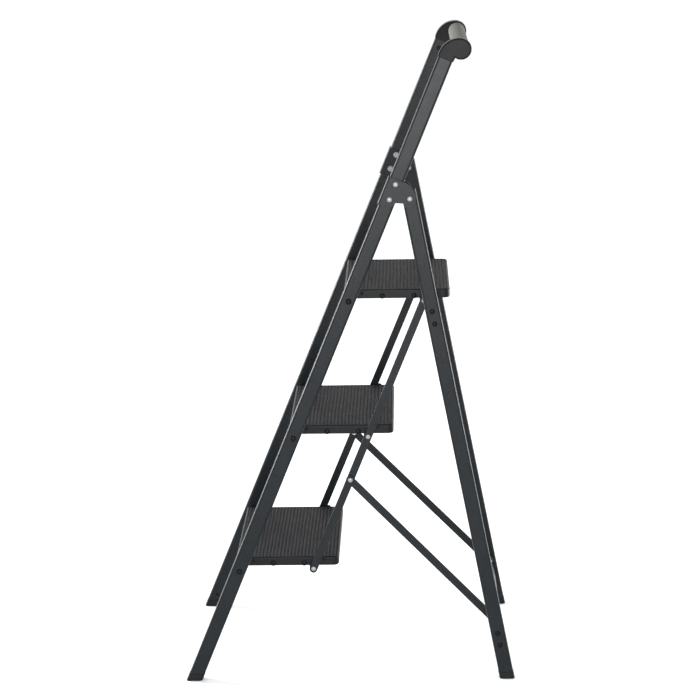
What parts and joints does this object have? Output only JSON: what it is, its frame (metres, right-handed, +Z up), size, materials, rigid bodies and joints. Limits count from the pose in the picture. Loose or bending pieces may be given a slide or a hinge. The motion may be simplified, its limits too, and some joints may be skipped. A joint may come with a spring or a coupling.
{
  "type": "folding step stool",
  "caption": "Tall folding step stool with ribbed treads between leaning steel rails, hinged rear legs, linked folding treads and a high padded handrail.",
  "frame": {"origin": "on the floor, in the middle of the four feet", "axes": "+Z up, +Y to the rear legs (the climber comes from -Y), +X across the stool to its right side seen from behind the climber"},
  "size_m": [0.4384, 0.6555, 1.2645],
  "materials": {
    "black_paint": "satin powder coat",
    "mat_rubber": "matte, ribbed",
    "black_plastic": "matte moulded",
    "zinc_steel": "bright zinc plate",
    "black_steel": "black oxide",
    "grip_foam": "matte closed-cell foam",
    "bare_steel": "plain drawn tube"
  },
  "bodies": {
    "front_frame": {"front_rail_left": "black_paint", "front_foot_left": "black_plastic", "hinge_bracket_left": "black_paint", "bracket_rivet_upper_left": "zinc_steel", "bracket_rivet_lower_left": "zinc_steel", "hinge_pin_left": "zinc_steel", "handle_cap_left": "black_plastic", "cap_screw_left": "black_steel", "tread_bolt_bottom_left": "black_steel", "tread_bolt_middle_left": "black_steel", "tread_bolt_top_left": "black_steel", "front_rail_right": "black_paint", "front_foot_right": "black_plastic", "hinge_bracket_right": "black_paint", "bracket_rivet_upper_right": "zinc_steel", "bracket_rivet_lower_right": "zinc_steel", "hinge_pin_right": "zinc_steel", "handle_cap_right": "black_plastic", "cap_screw_right": "black_steel", "tread_bolt_bottom_right": "black_steel", "tread_bolt_middle_right": "black_steel", "tread_bolt_top_right": "black_steel", "grip_core": "bare_steel", "grip_sleeve": "grip_foam"},
    "rear_frame": {"rear_leg_left": "black_paint", "rear_foot_left": "black_plastic", "crossbar_bolt_upper_left": "black_steel", "crossbar_bolt_lower_left": "black_steel", "brace_pin_left": "zinc_steel", "rear_leg_right": "black_paint", "rear_foot_right": "black_plastic", "crossbar_bolt_upper_right": "black_steel", "crossbar_bolt_lower_right": "black_steel", "brace_pin_right": "zinc_steel", "crossbar_upper": "black_paint", "crossbar_lower": "black_paint"},
    "tread_bottom": {"tread_pan_bottom": "black_paint", "tread_mat_bottom": "mat_rubber", "tread_rod_front_bottom": "black_steel", "tread_rod_rear_bottom": "black_steel"},
    "tread_middle": {"tread_pan_middle": "black_paint", "tread_mat_middle": "mat_rubber", "tread_rod_front_middle": "black_steel", "tread_rod_rear_middle": "black_steel"},
    "tread_top": {"tread_pan_top": "black_paint", "tread_mat_top": "mat_rubber", "tread_rod_front_top": "black_steel", "tread_rod_rear_top": "black_steel"},
    "link_left": {"link_bar_left": "black_paint", "link_rivet_bottom_left": "zinc_steel", "link_rivet_middle_left": "zinc_steel", "link_rivet_top_left": "zinc_steel"},
    "brace_left": {"brace_left": "black_paint", "brace_rivet_left": "zinc_steel"},
    "link_right": {"link_bar_right": "black_paint", "link_rivet_bottom_right": "zinc_steel", "link_rivet_middle_right": "zinc_steel", "link_rivet_top_right": "zinc_steel"},
    "brace_right": {"brace_right": "black_paint", "brace_rivet_right": "zinc_steel"}
  },
  "joints": [
    {"name": "rear_fold", "type": "hinge", "parent": "front_frame", "child": "rear_frame", "pos_m": [0, 0.12903, 0.9649], "axis": [-1, 0, 0], "range_deg": [0, 28.4]},
    {"name": "bottom_tread_fold", "type": "hinge", "parent": "front_frame", "child": "tread_bottom", "pos_m": [0, -0.21473, 0.2275], "axis": [1, 0, 0], "range_deg": [0, 65]},
    {"name": "middle_tread_fold", "type": "hinge", "parent": "front_frame", "child": "tread_middle", "pos_m": [0, -0.10245, 0.4975], "axis": [1, 0, 0], "range_deg": [0, 65]},
    {"name": "top_tread_fold", "type": "hinge", "parent": "front_frame", "child": "tread_top", "pos_m": [0, 0.00983, 0.7675], "axis": [1, 0, 0], "range_deg": [0, 65]},
    {"name": "left_link_fold", "type": "hinge", "parent": "tread_middle", "child": "link_left", "pos_m": [0, 0.04205, 0.4884], "axis": [-1, 0, 0], "range_deg": [0, 65]},
    {"name": "right_link_fold", "type": "hinge", "parent": "tread_middle", "child": "link_right", "pos_m": [0, 0.04205, 0.4884], "axis": [-1, 0, 0], "range_deg": [0, 65]},
    {"name": "left_brace_fold", "type": "hinge", "parent": "rear_frame", "child": "brace_left", "pos_m": [0, 0.2922, 0.10627], "axis": [-1, 0, 0], "range_deg": [0, 25.5]},
    {"name": "right_brace_fold", "type": "hinge", "parent": "rear_frame", "child": "brace_right", "pos_m": [0, 0.2922, 0.10627], "axis": [-1, 0, 0], "range_deg": [0, 25.5]}
  ],
  "couplings": [
    {"joint": "bottom_tread_fold", "follows": "rear_fold", "ratio": 2.2881},
    {"joint": "middle_tread_fold", "follows": "rear_fold", "ratio": 2.2881},
    {"joint": "top_tread_fold", "follows": "rear_fold", "ratio": 2.2881},
    {"joint": "left_link_fold", "follows": "rear_fold", "ratio": 2.2881},
    {"joint": "right_link_fold", "follows": "rear_fold", "ratio": 2.2881},
    {"joint": "left_brace_fold", "follows": "rear_fold", "ratio": 0.88082},
    {"joint": "right_brace_fold", "follows": "rear_fold", "ratio": 0.88082}
  ]
}
